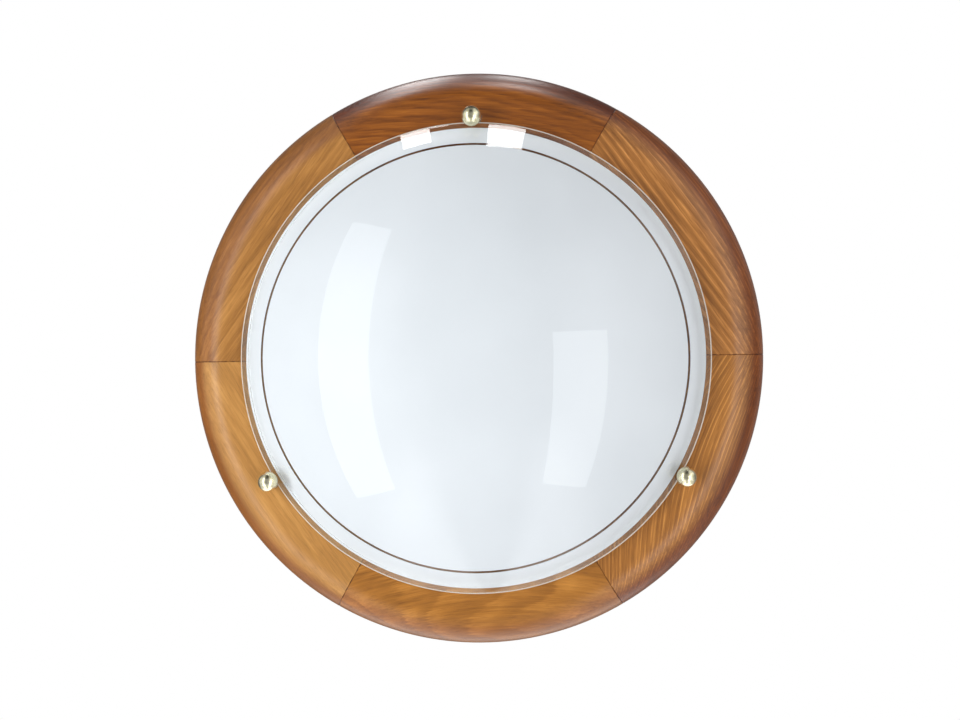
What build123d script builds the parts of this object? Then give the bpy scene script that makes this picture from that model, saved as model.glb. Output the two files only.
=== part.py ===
"""Flush wall and ceiling light: a glass dome held on a ring of six wooden segments by three ball knobs.

Frame: the wall is the plane Y = 0 and the light stands out of it along -Y. +Z is up, +X is to the right
as seen from in front. The origin is the centre of the back. "Depth" below is the distance from the wall,
so a point at depth d has Y = -d. Millimetres throughout.
"""

from build123d import *
from math import cos, radians, sin, sqrt, tan
import os

# ------------------------------------------------------------------ driving dimensions
# Wooden ring
RING_OUTER_R = 183.5
RING_INNER_R = 128.0
RING_DEPTH = 34.0
RING_OUTER_ROUND = 22.0
RING_INNER_ROUND = 2.0
RING_BACK_ROUND = 3.0
RABBET_R = 147.0
RABBET_DEPTH = 3.0
SEGMENT_ARC = 60
JOINT_BEVEL = 0.3
SEGMENT_MIDDLES = {
    "upper_right": 30,
    "top": 90,
    "upper_left": 150,
    "lower_left": 210,
    "bottom": 270,
    "lower_right": 330,
}

# Glass dome and its print
GLASS_R = 150.0
GLASS_THICKNESS = 4.0
GLASS_BEVEL = 0.8
GLASS_EDGE = 1.6
DOME_OUTER_SPHERE_R = 229.0
RIM_FLAT_INNER_R = 147.5
PRINT_OUTER_R = 145.1
PRINT_LINE_R = 135.6
PRINT_LINE_WIDTH = 1.4
PRINT_THICKNESS = 0.3

# Ball knobs and what they screw on
STUD_CIRCLE_R = 153.5
STUD_ANGLES = {"top": 90, "lower_left": 210, "lower_right": 330}
STUD_R = 2.0
STUD_START_DEPTH = 22.0
STUD_ENGAGEMENT = 8.0
THREAD_PLAY = 0.06
INSERT_R = 4.0
INSERT_LENGTH = 13.0
KNOB_R = 6.5
KNOB_GLASS_GAP = 0.3
KNOB_BASE_LIFT = 0.6
KNOB_BORE_SPARE = 0.9
BUSH_FLANGE_R = 6.2
BUSH_FLANGE = 1.0
BUSH_SLEEVE_R = 2.6
BUSH_BORE_R = 2.1
WASHER_THICKNESS = 0.6
STACK_GAP = 0.05

# Back pan
SHEET = 1.0
PAN_R = 146.0
PAN_FLANGE_INNER_R = 124.0
PAN_FLOOR_OUTER_R = 120.0
PAN_FLOOR_INNER_R = 66.0
PLATEAU_R = 62.0
PLATEAU_LIFT = 4.0
WALL_SLOT_SPACING = 190.0
WALL_SLOT_LENGTH = 20.0
WALL_SLOT_WIDTH = 5.0
PAN_SCREW_CIRCLE_R = 138.0
PAN_SCREW_R = 1.75
PAN_SCREW_LENGTH = 16.0
PAN_SCREW_HEAD_R = 3.5
PAN_SCREW_HEAD = 1.6
CABLE_HOLE_R = 8.0
GROMMET_BORE_R = 4.5
GROMMET_R = 11.5
GROMMET_BACK_LIP = 1.8
GROMMET_FRONT_LIP = 2.0

# Lamps: the upper one points right, the lower one is the same turned half round about the wall's normal
LAMP_DEPTH = 40.0
LAMP_HEIGHT = 38.0
HOLDER_BACK_X = 80.0
HOLDER_R = 20.5
HOLDER_LENGTH = 40.0
HOLDER_CAVITY_R = 13.8
HOLDER_BASE = 13.0
SLEEVE_OUTER_R = 13.7
SLEEVE_INNER_R = 13.2
SLEEVE_FLANGE = 0.5
SLEEVE_FLANGE_INNER_R = 8.0
CONTACT_WIDTH = 6.0
BRACKET_THICKNESS = 1.5
BRACKET_WIDTH = 26.0
BRACKET_FOOT = 20.0
BRACKET_TOP_DEPTH = 56.0
BRACKET_BEND_R = 1.0
HOLDER_SCREW_SPREAD = 8.0
HOLDER_SCREW_R = 2.0
HOLDER_SCREW_DEPTH = 8.0
HOLDER_SCREW_HEAD_R = 3.5
HOLDER_SCREW_HEAD = 2.4
NEAR = 0.01
WIRE_HOLE_R = 1.5
WIRE_HOLE_SPREAD = 5.0
WIRE_HOLE_ALONG = 6.5
WIRE_HOLE_DEPTH = 4.0
BULB_TIP_ALONG = 17.0
BULB_LENGTH = 105.0
BULB_R = 30.0
BULB_WALL = 1.0
BULB_NECK_R = 12.3
BULB_NECK_JOIN_ANGLE = 125
BULB_NECK_IN_CAP = 3.0
BULB_CAP_R = 13.1
BULB_CAP_LENGTH = 25.0
BULB_CAP_START = 3.0
BULB_CAP_WALL = 0.4
BULB_THREAD_PITCH = 3.63
BULB_THREAD_DEPTH = 0.7
BULB_THREAD_TURNS = 4
BULB_TIP_R = 4.5
BULB_TIP_HEIGHT = 0.8
BULB_TIP_MARGIN = 0.5
INSULATOR_REACH = 2.0

# Terminal block, earth point and internal wires
BLOCK_X = -37.0
BLOCK_LENGTH = 18.0
BLOCK_WIDTH = 26.0
BLOCK_HEIGHT = 14.0
BLOCK_EAR = 6.0
BLOCK_EAR_THICKNESS = 3.0
BLOCK_EAR_HOLE_R = 1.6
BLOCK_CORNER_R = 1.5
BLOCK_EAR_CORNER_R = 2.0
BLOCK_GAP_WIDTH = 1.2
BLOCK_GAP_DEPTH = 2.0
POLE_PITCH = 8.2
POLE_HEIGHT = 6.0
POLE_R = 2.7
TUBE_R = 2.6
TUBE_BORE_R = 1.9
TUBE_LENGTH = 10.0
CLAMP_SCREW_SPREAD = 2.8
CLAMP_SCREW_R = 1.4
CLAMP_WELL_R = 1.9
CLAMP_SCREW_LIFT = 0.5
CLAMP_SCREW_SUNK = 1.5
CLAMP_SLOT_WIDTH = 0.6
CLAMP_SLOT_DEPTH = 0.8
SELF_TAPPER_R = 1.45
SELF_TAPPER_LENGTH = 7.0
SELF_TAPPER_HEAD_R = 2.8
SELF_TAPPER_HEAD = 2.0
SELF_TAPPER_HEAD_TAPER = 0.8
SELF_TAPPER_POINT = 1.0
EARTH_STUD_X = 36.0
EARTH_STUD_LENGTH = 9.0
EARTH_STUD_CHAMFER = 0.5
LUG_R = 4.0
LUG_THICKNESS = 0.8
LUG_BARREL_R = 1.7
LUG_BARREL_LENGTH = 7.0
LUG_BARREL_OVERLAP = 0.3
NUT_ACROSS_FLATS = 7.0
NUT_HEIGHT = 3.2
WIRE_R = 1.1
WIRE_STACK = 1.25
ARC_SHARE = 0.45

# ------------------------------------------------------------------ worked out from them
GLASS_SEAT_DEPTH = RING_DEPTH + BUSH_FLANGE
DOME_INNER_SPHERE_R = DOME_OUTER_SPHERE_R - GLASS_THICKNESS
DOME_CENTRE_DEPTH = GLASS_SEAT_DEPTH - sqrt(DOME_INNER_SPHERE_R**2 - RIM_FLAT_INNER_R**2)
KNOB_SPHERE_REACH = DOME_OUTER_SPHERE_R + KNOB_R + KNOB_GLASS_GAP
KNOB_DEPTH = DOME_CENTRE_DEPTH + sqrt(KNOB_SPHERE_REACH**2 - STUD_CIRCLE_R**2)
KNOB_BASE_DEPTH = KNOB_DEPTH - KNOB_R + KNOB_BASE_LIFT
KNOB_BASE_R = sqrt(KNOB_R**2 - (KNOB_R - KNOB_BASE_LIFT) ** 2)
STUD_END_DEPTH = KNOB_BASE_DEPTH + STUD_ENGAGEMENT
WASHER_TOP_DEPTH = KNOB_BASE_DEPTH - STACK_GAP
WASHER_BOTTOM_DEPTH = WASHER_TOP_DEPTH - WASHER_THICKNESS
PLATEAU_FACE = PLATEAU_LIFT + SHEET
PAN_FLANGE_BACK = RABBET_DEPTH - SHEET
POLE_DEPTH = PLATEAU_FACE + POLE_HEIGHT

os.makedirs("parts", exist_ok=True)


# ------------------------------------------------------------------ places and small helpers
def on_face(radius, angle):
    """X and Z of a point at a radius and an angle, anticlockwise from +X as seen from in front."""
    return radius * cos(radians(angle)), radius * sin(radians(angle))


def at_depth(depth):
    """Plane parallel to the wall that looks at the viewer: local x is X, local y is Z."""
    return Plane.XZ.offset(depth)


def section(x=0.0, z=0.0):
    """Plane through a line square to the wall: local x is the distance from it, local y is -depth."""
    return Plane(origin=(x, 0, z), x_dir=(1, 0, 0), z_dir=(0, 0, 1))


def wall_normal(x=0.0, z=0.0):
    """Axis square to the wall, pointing at the viewer."""
    return Axis((x, 0, z), (0, -1, 0))


def on_sphere(sphere_r, radius):
    """Section point of a sphere about the dome's centre of curvature."""
    return radius, -(DOME_CENTRE_DEPTH + sqrt(sphere_r**2 - radius**2))


def sphere_arc(sphere_r, start_radius, end_radius):
    """Arc along such a sphere between two distances from the axis."""
    middle = (start_radius + end_radius) / 2
    return ThreePointArc(
        on_sphere(sphere_r, start_radius), on_sphere(sphere_r, middle), on_sphere(sphere_r, end_radius)
    )


def save(builder, name):
    """Label a finished piece and write it as its own STEP file."""
    builder.part.label = name
    export_step(builder.part, f"parts/{name}.step")


# ------------------------------------------------------------------ wooden ring
def ring_outline():
    """Half section of the ring: flat front, large outer round, and a rabbet behind for the pan."""
    corner = 1 - sqrt(0.5)
    Polyline(
        (RING_OUTER_R - RING_BACK_ROUND, 0),
        (RABBET_R, 0),
        (RABBET_R, -RABBET_DEPTH),
        (RING_INNER_R, -RABBET_DEPTH),
        (RING_INNER_R, -(RING_DEPTH - RING_INNER_ROUND)),
    )
    ThreePointArc(
        (RING_INNER_R, -(RING_DEPTH - RING_INNER_ROUND)),
        (RING_INNER_R + corner * RING_INNER_ROUND, -(RING_DEPTH - corner * RING_INNER_ROUND)),
        (RING_INNER_R + RING_INNER_ROUND, -RING_DEPTH),
    )
    Line((RING_INNER_R + RING_INNER_ROUND, -RING_DEPTH), (RING_OUTER_R - RING_OUTER_ROUND, -RING_DEPTH))
    ThreePointArc(
        (RING_OUTER_R - RING_OUTER_ROUND, -RING_DEPTH),
        (RING_OUTER_R - corner * RING_OUTER_ROUND, -(RING_DEPTH - corner * RING_OUTER_ROUND)),
        (RING_OUTER_R, -(RING_DEPTH - RING_OUTER_ROUND)),
    )
    Line((RING_OUTER_R, -(RING_DEPTH - RING_OUTER_ROUND)), (RING_OUTER_R, -RING_BACK_ROUND))
    ThreePointArc(
        (RING_OUTER_R, -RING_BACK_ROUND),
        (RING_OUTER_R - corner * RING_BACK_ROUND, -corner * RING_BACK_ROUND),
        (RING_OUTER_R - RING_BACK_ROUND, 0),
    )


def joint_edges(segment):
    """Edges of a segment's two end faces that show from outside: the front, the round and the rim."""
    ends = segment.faces().filter_by(lambda face: face.is_planar and abs(face.normal_at().Y) < 0.01)
    edges = ends.edges()
    return edges.filter_by(
        lambda edge: edge.center().Y < -RABBET_DEPTH
        and edge.length > JOINT_BEVEL
        and Vector(edge.center().X, 0, edge.center().Z).length > RING_INNER_R + RING_INNER_ROUND
    )


def make_segment(place, middle_angle):
    """One sixth of the ring, with its pan screw hole and, under a knob, the hole for the insert."""
    start = radians(middle_angle - SEGMENT_ARC / 2)
    start_plane = Plane(
        origin=(0, 0, 0), x_dir=(cos(start), 0, sin(start)), z_dir=(-sin(start), 0, cos(start))
    )
    with BuildPart() as segment:
        with BuildSketch(start_plane):
            with BuildLine():
                ring_outline()
            make_face()
        revolve(axis=wall_normal(), revolution_arc=SEGMENT_ARC)
        chamfer(joint_edges(segment), JOINT_BEVEL)
        with BuildSketch(at_depth(RABBET_DEPTH)):
            with Locations(on_face(PAN_SCREW_CIRCLE_R, middle_angle)):
                Circle(PAN_SCREW_R + STACK_GAP)
        extrude(amount=PAN_SCREW_LENGTH, mode=Mode.SUBTRACT)
        if place in STUD_ANGLES:
            with BuildSketch(at_depth(RING_DEPTH)):
                with Locations(on_face(STUD_CIRCLE_R, middle_angle)):
                    Circle(INSERT_R + STACK_GAP)
            extrude(amount=-(INSERT_LENGTH + 1), mode=Mode.SUBTRACT)
    save(segment, f"ring_segment_{place}")


for place, middle_angle in SEGMENT_MIDDLES.items():
    make_segment(place, middle_angle)

# ------------------------------------------------------------------ glass dome and its print
outer_bevel_r = GLASS_R - GLASS_BEVEL
edge_back = -(GLASS_SEAT_DEPTH + GLASS_BEVEL)
with BuildPart() as glass:
    with BuildSketch(section()):
        with BuildLine():
            sphere_arc(DOME_OUTER_SPHERE_R, 0, outer_bevel_r)
            Polyline(
                on_sphere(DOME_OUTER_SPHERE_R, outer_bevel_r),
                (GLASS_R, edge_back - GLASS_EDGE),
                (GLASS_R, edge_back),
                (outer_bevel_r, -GLASS_SEAT_DEPTH),
                on_sphere(DOME_INNER_SPHERE_R, RIM_FLAT_INNER_R),
            )
            sphere_arc(DOME_INNER_SPHERE_R, RIM_FLAT_INNER_R, 0)
            Line(on_sphere(DOME_INNER_SPHERE_R, 0), on_sphere(DOME_OUTER_SPHERE_R, 0))
        make_face()
    revolve(axis=wall_normal())
save(glass, "glass_dome")

print_back_sphere_r = DOME_INNER_SPHERE_R - PRINT_THICKNESS
line_inner_r = PRINT_LINE_R - PRINT_LINE_WIDTH / 2
line_outer_r = PRINT_LINE_R + PRINT_LINE_WIDTH / 2
with BuildPart() as white_print:
    for inner_r, outer_r in ((0, line_inner_r), (line_outer_r, PRINT_OUTER_R)):
        with BuildSketch(section()):
            with BuildLine():
                sphere_arc(DOME_INNER_SPHERE_R, inner_r, outer_r)
                Line(on_sphere(DOME_INNER_SPHERE_R, outer_r), on_sphere(print_back_sphere_r, outer_r))
                sphere_arc(print_back_sphere_r, outer_r, inner_r)
                Line(on_sphere(print_back_sphere_r, inner_r), on_sphere(DOME_INNER_SPHERE_R, inner_r))
            make_face()
        revolve(axis=wall_normal())
save(white_print, "white_print")


# ------------------------------------------------------------------ knobs, washers, bushes, studs, inserts
def turned_outline(points):
    """Closed half section of a turned piece from (distance, depth) points."""
    Polyline(*[(radius, -depth) for radius, depth in points], close=True)


def make_knob(place, angle):
    """Ball with a small flat base and a blind threaded bore, drawn at the thread's clearance radius."""
    x, z = on_face(STUD_CIRCLE_R, angle)
    bore_r = STUD_R + THREAD_PLAY
    bore_end = STUD_END_DEPTH + KNOB_BORE_SPARE
    tip_depth = KNOB_DEPTH + KNOB_R
    with BuildPart() as knob:
        with BuildSketch(section(x, z)):
            with BuildLine():
                Polyline(
                    (0, -tip_depth),
                    (0, -bore_end),
                    (bore_r, -bore_end + bore_r / 2),
                    (bore_r, -KNOB_BASE_DEPTH),
                    (KNOB_BASE_R, -KNOB_BASE_DEPTH),
                )
                ThreePointArc((KNOB_BASE_R, -KNOB_BASE_DEPTH), (KNOB_R, -KNOB_DEPTH), (0, -tip_depth))
            make_face()
        revolve(axis=wall_normal(x, z))
    save(knob, f"ball_knob_{place}")


def make_washer(place, angle):
    """Thin clear washer under a knob."""
    x, z = on_face(STUD_CIRCLE_R, angle)
    with BuildPart() as washer:
        with BuildSketch(at_depth(WASHER_BOTTOM_DEPTH)):
            with Locations((x, z)):
                Circle(BUSH_SLEEVE_R)
                Circle(BUSH_BORE_R, mode=Mode.SUBTRACT)
        extrude(amount=WASHER_THICKNESS)
    save(washer, f"knob_washer_{place}")


for place, angle in STUD_ANGLES.items():
    make_knob(place, angle)
    make_washer(place, angle)

stud_places = [on_face(STUD_CIRCLE_R, angle) for angle in STUD_ANGLES.values()]

bush_points = [
    (BUSH_BORE_R, RING_DEPTH),
    (BUSH_FLANGE_R, RING_DEPTH),
    (BUSH_FLANGE_R, GLASS_SEAT_DEPTH),
    (BUSH_SLEEVE_R, GLASS_SEAT_DEPTH),
    (BUSH_SLEEVE_R, WASHER_BOTTOM_DEPTH - STACK_GAP),
    (BUSH_BORE_R, WASHER_BOTTOM_DEPTH - STACK_GAP),
]
with BuildPart() as bushes:
    for x, z in stud_places:
        with BuildSketch(section(x, z)):
            with BuildLine():
                turned_outline(bush_points)
            make_face()
        revolve(axis=wall_normal(x, z))
save(bushes, "glass_seat_bushes")

stud_points = [
    (0, STUD_START_DEPTH),
    (STUD_R, STUD_START_DEPTH),
    (STUD_R, STUD_END_DEPTH - STUD_R / 3),
    (STUD_R * 2 / 3, STUD_END_DEPTH),
    (0, STUD_END_DEPTH),
]
with BuildPart() as studs:
    for x, z in stud_places:
        with BuildSketch(section(x, z)):
            with BuildLine():
                turned_outline(stud_points)
            make_face()
        revolve(axis=wall_normal(x, z))
save(studs, "knob_studs")

with BuildPart() as inserts:
    with BuildSketch(at_depth(RING_DEPTH)):
        with Locations(*stud_places):
            Circle(INSERT_R)
            Circle(STUD_R + THREAD_PLAY / 2, mode=Mode.SUBTRACT)
    extrude(amount=-INSERT_LENGTH)
save(inserts, "stud_inserts")


# ------------------------------------------------------------------ back pan, its screws and the grommet
block_screw_reach = (BLOCK_WIDTH + BLOCK_EAR) / 2
block_screw_places = [(BLOCK_X, block_screw_reach), (BLOCK_X, -block_screw_reach)]
pan_back = [
    (CABLE_HOLE_R, PLATEAU_LIFT),
    (PLATEAU_R, PLATEAU_LIFT),
    (PAN_FLOOR_INNER_R, 0),
    (PAN_FLOOR_OUTER_R, 0),
    (PAN_FLANGE_INNER_R, PAN_FLANGE_BACK),
    (PAN_R, PAN_FLANGE_BACK),
]
pan_front = [(radius, depth + SHEET) for radius, depth in reversed(pan_back)]
pan_screw_places = [on_face(PAN_SCREW_CIRCLE_R, angle) for angle in SEGMENT_MIDDLES.values()]
wall_slot_places = [(WALL_SLOT_SPACING / 2, 0), (-WALL_SLOT_SPACING / 2, 0)]

with BuildPart() as pan:
    with BuildSketch(section()):
        with BuildLine():
            turned_outline(pan_back + pan_front)
        make_face()
    revolve(axis=wall_normal())
    with BuildSketch(at_depth(-SHEET)):
        with Locations(*wall_slot_places):
            SlotOverall(WALL_SLOT_LENGTH, WALL_SLOT_WIDTH)
        with Locations(*pan_screw_places):
            Circle(PAN_SCREW_R + STACK_GAP)
        with Locations(*block_screw_places):
            Circle(SELF_TAPPER_R + STACK_GAP)
    extrude(amount=PLATEAU_FACE + 2 * SHEET, mode=Mode.SUBTRACT)
save(pan, "back_pan")

pan_screw_points = [
    (0, PAN_FLANGE_BACK - PAN_SCREW_HEAD),
    (PAN_SCREW_HEAD_R - 1, PAN_FLANGE_BACK - PAN_SCREW_HEAD),
    (PAN_SCREW_HEAD_R, PAN_FLANGE_BACK - PAN_SCREW_HEAD / 2),
    (PAN_SCREW_HEAD_R, PAN_FLANGE_BACK),
    (PAN_SCREW_R, PAN_FLANGE_BACK),
    (PAN_SCREW_R, PAN_SCREW_LENGTH - PAN_SCREW_R),
    (0, PAN_SCREW_LENGTH),
]
with BuildPart() as pan_screws:
    for x, z in pan_screw_places:
        with BuildSketch(section(x, z)):
            with BuildLine():
                turned_outline(pan_screw_points)
            make_face()
        revolve(axis=wall_normal(x, z))
save(pan_screws, "pan_screws")

grommet_points = [
    (GROMMET_BORE_R, PLATEAU_LIFT - GROMMET_BACK_LIP),
    (GROMMET_R, PLATEAU_LIFT - GROMMET_BACK_LIP),
    (GROMMET_R, PLATEAU_LIFT),
    (CABLE_HOLE_R, PLATEAU_LIFT),
    (CABLE_HOLE_R, PLATEAU_FACE),
    (GROMMET_R, PLATEAU_FACE),
    (GROMMET_R - 1, PLATEAU_FACE + GROMMET_FRONT_LIP),
    (GROMMET_BORE_R, PLATEAU_FACE + GROMMET_FRONT_LIP),
]
with BuildPart() as grommet:
    with BuildSketch(section()):
        with BuildLine():
            turned_outline(grommet_points)
        make_face()
    revolve(axis=wall_normal())
save(grommet, "cable_grommet")


# ------------------------------------------------------------------ lamps
class Lamp:
    """Place of one lamp: its axis runs along X from the back of its holder. side is +1 for the upper lamp."""

    def __init__(self, name, side):
        self.name = name
        self.side = side
        self.back = Vector(-side * HOLDER_BACK_X, -LAMP_DEPTH, side * LAMP_HEIGHT)
        self.direction = Vector(side, 0, 0)

    def axis(self):
        return Axis(self.back, self.direction)

    def section(self):
        """Section plane: local x is the distance along the lamp, local y the distance from its axis."""
        return Plane(origin=self.back, x_dir=self.direction, z_dir=(0, 0, 1))

    def across(self, along):
        """Plane square to the lamp's axis: local x is towards the viewer, local y is across it."""
        return Plane(origin=self.back + self.direction * along, x_dir=(0, -1, 0), z_dir=self.direction)


LAMPS = [Lamp("upper", 1), Lamp("lower", -1)]


def wire_hole_plane(lamp):
    """Plane on the side of a holder that faces the middle of the light: local x is X, normal outwards."""
    surface = lamp.back + lamp.direction * WIRE_HOLE_ALONG - Vector(0, 0, lamp.side * HOLDER_R)
    return Plane(origin=surface, x_dir=(1, 0, 0), z_dir=(0, 0, -lamp.side))


def make_holder(lamp):
    """Ceramic body: a cup for the sleeve, two screw holes behind and two wire holes in its side."""
    shoulder = 2.0
    with BuildPart() as holder:
        with BuildSketch(lamp.section()):
            with BuildLine():
                Polyline(
                    (0, 0),
                    (0, HOLDER_R - shoulder),
                    (shoulder, HOLDER_R),
                    (HOLDER_LENGTH - shoulder, HOLDER_R),
                    (HOLDER_LENGTH, HOLDER_R - shoulder),
                    (HOLDER_LENGTH, HOLDER_CAVITY_R),
                    (HOLDER_BASE, HOLDER_CAVITY_R),
                    (HOLDER_BASE, 0),
                    close=True,
                )
            make_face()
        revolve(axis=lamp.axis())
        with BuildSketch(lamp.across(0)):
            with Locations((0, HOLDER_SCREW_SPREAD), (0, -HOLDER_SCREW_SPREAD)):
                Circle(HOLDER_SCREW_R + STACK_GAP)
        extrude(amount=HOLDER_SCREW_DEPTH + 1, mode=Mode.SUBTRACT)
        with BuildSketch(wire_hole_plane(lamp)):
            with Locations((0, WIRE_HOLE_SPREAD), (0, -WIRE_HOLE_SPREAD)):
                Circle(WIRE_HOLE_R)
        extrude(amount=-WIRE_HOLE_DEPTH, mode=Mode.SUBTRACT)
    save(holder, f"{lamp.name}_lamp_holder")


def make_sleeve(lamp):
    """Thin metal sleeve of the holder with an inward flange at its bottom."""
    with BuildPart() as sleeve:
        with BuildSketch(lamp.section()):
            with BuildLine():
                Polyline(
                    (HOLDER_BASE, SLEEVE_FLANGE_INNER_R),
                    (HOLDER_BASE, SLEEVE_OUTER_R),
                    (HOLDER_LENGTH - 1, SLEEVE_OUTER_R),
                    (HOLDER_LENGTH - 1, SLEEVE_INNER_R),
                    (HOLDER_BASE + SLEEVE_FLANGE, SLEEVE_INNER_R),
                    (HOLDER_BASE + SLEEVE_FLANGE, SLEEVE_FLANGE_INNER_R),
                    close=True,
                )
            make_face()
        revolve(axis=lamp.axis())
    save(sleeve, f"{lamp.name}_holder_sleeve")


def make_centre_contact(lamp):
    """Springy brass tongue at the bottom of the holder, bent up to the bulb's tip."""
    strip = 0.6
    crest = BULB_TIP_ALONG - STACK_GAP
    with BuildPart() as contact:
        with BuildSketch(lamp.section()):
            with BuildLine():
                Polyline(
                    (HOLDER_BASE, -7),
                    (HOLDER_BASE, -3),
                    (crest - strip, 0),
                    (crest - strip, 3),
                    (crest - 2 * strip, 4),
                    (crest - strip, 4.4),
                    (crest, 3.2),
                    (crest, -0.2),
                    (HOLDER_BASE + strip, -3.2),
                    (HOLDER_BASE + strip, -7),
                    close=True,
                )
            make_face()
        extrude(amount=CONTACT_WIDTH / 2, both=True)
    save(contact, f"{lamp.name}_centre_contact")


def make_bracket(lamp):
    """Steel angle: a foot spot-welded on the pan's floor and an upright behind the holder."""
    foot_face = SHEET + BRACKET_THICKNESS
    seen_from_end = Plane(origin=lamp.back, x_dir=(lamp.side, 0, 0), z_dir=(0, 0, lamp.side))
    with BuildPart() as bracket:
        with BuildSketch(seen_from_end) as profile:
            with BuildLine():
                Polyline(
                    (0, LAMP_DEPTH - SHEET),
                    (0, LAMP_DEPTH - BRACKET_TOP_DEPTH),
                    (-BRACKET_THICKNESS, LAMP_DEPTH - BRACKET_TOP_DEPTH),
                    (-BRACKET_THICKNESS, LAMP_DEPTH - foot_face),
                    (-BRACKET_FOOT, LAMP_DEPTH - foot_face),
                    (-BRACKET_FOOT, LAMP_DEPTH - SHEET),
                    close=True,
                )
            make_face()
            inner_bend = profile.vertices().filter_by(
                lambda v: abs(abs(v.X - lamp.back.X) - BRACKET_THICKNESS) < NEAR and v.Y > -foot_face - NEAR
            )
            outer_bend = profile.vertices().filter_by(
                lambda v: abs(v.X - lamp.back.X) < NEAR and v.Y > -foot_face - NEAR
            )
            fillet(inner_bend, BRACKET_BEND_R)
            fillet(outer_bend, BRACKET_BEND_R + BRACKET_THICKNESS - STACK_GAP)
        extrude(amount=BRACKET_WIDTH / 2, both=True)
        with BuildSketch(lamp.across(-2 * BRACKET_THICKNESS)):
            with Locations((0, HOLDER_SCREW_SPREAD), (0, -HOLDER_SCREW_SPREAD)):
                Circle(HOLDER_SCREW_R + STACK_GAP)
        extrude(amount=3 * BRACKET_THICKNESS, mode=Mode.SUBTRACT)
    save(bracket, f"{lamp.name}_lamp_bracket")


def bulb_outline(inset):
    """Outside line of the bulb's glass, or of its hollow when inset by the wall, from neck to crown."""
    ball_centre = BULB_TIP_ALONG + BULB_LENGTH - BULB_R
    ball_r = BULB_R - inset
    neck_r = BULB_NECK_R - inset
    cap_rim = BULB_TIP_ALONG + BULB_CAP_START + BULB_CAP_LENGTH
    join_angle = radians(BULB_NECK_JOIN_ANGLE)
    join = (ball_centre + ball_r * cos(join_angle), ball_r * sin(join_angle))
    flank = (ball_centre + ball_r * cos(join_angle / 2), ball_r * sin(join_angle / 2))
    neck = Line((cap_rim - BULB_NECK_IN_CAP, neck_r), (cap_rim + BULB_WALL, neck_r))
    Spline(
        neck @ 1,
        join,
        tangents=((1, 0), (sin(join_angle), -cos(join_angle))),
    )
    crown = ThreePointArc(join, flank, (ball_centre + ball_r, 0))
    return neck, crown


def make_bulb(lamp):
    """Glass envelope, threaded cap, insulator and tip of one bulb."""
    with BuildPart() as envelope:
        with BuildSketch(lamp.section()):
            with BuildLine():
                neck, crown = bulb_outline(0)
                hollow_neck, hollow_crown = bulb_outline(BULB_WALL)
                Line(neck @ 0, hollow_neck @ 0)
                Line(crown @ 1, hollow_crown @ 1)
            make_face()
        revolve(axis=lamp.axis())
    save(envelope, f"{lamp.name}_bulb_glass")

    cap_start = BULB_TIP_ALONG + BULB_CAP_START
    cap_end = cap_start + BULB_CAP_LENGTH
    root_r = BULB_CAP_R - BULB_THREAD_DEPTH
    outside = [(cap_start, root_r)]
    for turn in range(BULB_THREAD_TURNS):
        ridge = cap_start + (turn + 0.75) * BULB_THREAD_PITCH
        outside += [
            (ridge - BULB_THREAD_PITCH / 3, root_r),
            (ridge - BULB_THREAD_PITCH / 10, BULB_CAP_R),
            (ridge + BULB_THREAD_PITCH / 10, BULB_CAP_R),
            (ridge + BULB_THREAD_PITCH / 3, root_r),
        ]
    skirt_start = cap_start + (BULB_THREAD_TURNS + 0.8) * BULB_THREAD_PITCH
    outside += [(skirt_start, root_r), (skirt_start + 1, BULB_CAP_R), (cap_end, BULB_CAP_R)]
    bore_r = BULB_CAP_R - BULB_CAP_WALL
    floor_r = root_r - BULB_CAP_WALL
    inside = [
        (cap_end, bore_r),
        (skirt_start + 1 + BULB_CAP_WALL, bore_r),
        (skirt_start + BULB_CAP_WALL, floor_r),
        (cap_start, floor_r),
    ]
    with BuildPart() as cap:
        with BuildSketch(lamp.section()):
            with BuildLine():
                Polyline(*outside, *inside, close=True)
            make_face()
        revolve(axis=lamp.axis())
    save(cap, f"{lamp.name}_bulb_cap")

    tip_top = BULB_TIP_ALONG + BULB_TIP_HEIGHT
    insulator_end = cap_start + INSULATOR_REACH
    with BuildPart() as insulator:
        with BuildSketch(lamp.section()):
            with BuildLine():
                Polyline(
                    (tip_top, 0),
                    (tip_top, BULB_TIP_R + BULB_TIP_MARGIN),
                    (cap_start, floor_r - STACK_GAP),
                    (insulator_end, floor_r - STACK_GAP),
                    (insulator_end, 0),
                    close=True,
                )
            make_face()
        revolve(axis=lamp.axis())
    save(insulator, f"{lamp.name}_bulb_insulator")

    with BuildPart() as tip:
        with BuildSketch(lamp.across(BULB_TIP_ALONG)):
            Circle(BULB_TIP_R)
        extrude(amount=BULB_TIP_HEIGHT)
        chamfer(tip.faces().sort_by(lamp.axis())[0].edges(), BULB_TIP_HEIGHT / 3)
    save(tip, f"{lamp.name}_bulb_tip")


for lamp in LAMPS:
    make_holder(lamp)
    make_sleeve(lamp)
    make_centre_contact(lamp)
    make_bracket(lamp)
    make_bulb(lamp)

with BuildPart() as holder_screws:
    for lamp in LAMPS:
        head_start = -BRACKET_THICKNESS - HOLDER_SCREW_HEAD
        spread = [(0, HOLDER_SCREW_SPREAD), (0, -HOLDER_SCREW_SPREAD)]
        with BuildSketch(lamp.across(head_start)):
            with Locations(*spread):
                Circle(HOLDER_SCREW_HEAD_R)
        extrude(amount=HOLDER_SCREW_HEAD)
        with BuildSketch(lamp.across(-BRACKET_THICKNESS)):
            with Locations(*spread):
                Circle(HOLDER_SCREW_R)
        extrude(amount=BRACKET_THICKNESS + HOLDER_SCREW_DEPTH)
save(holder_screws, "holder_screws")

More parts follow.
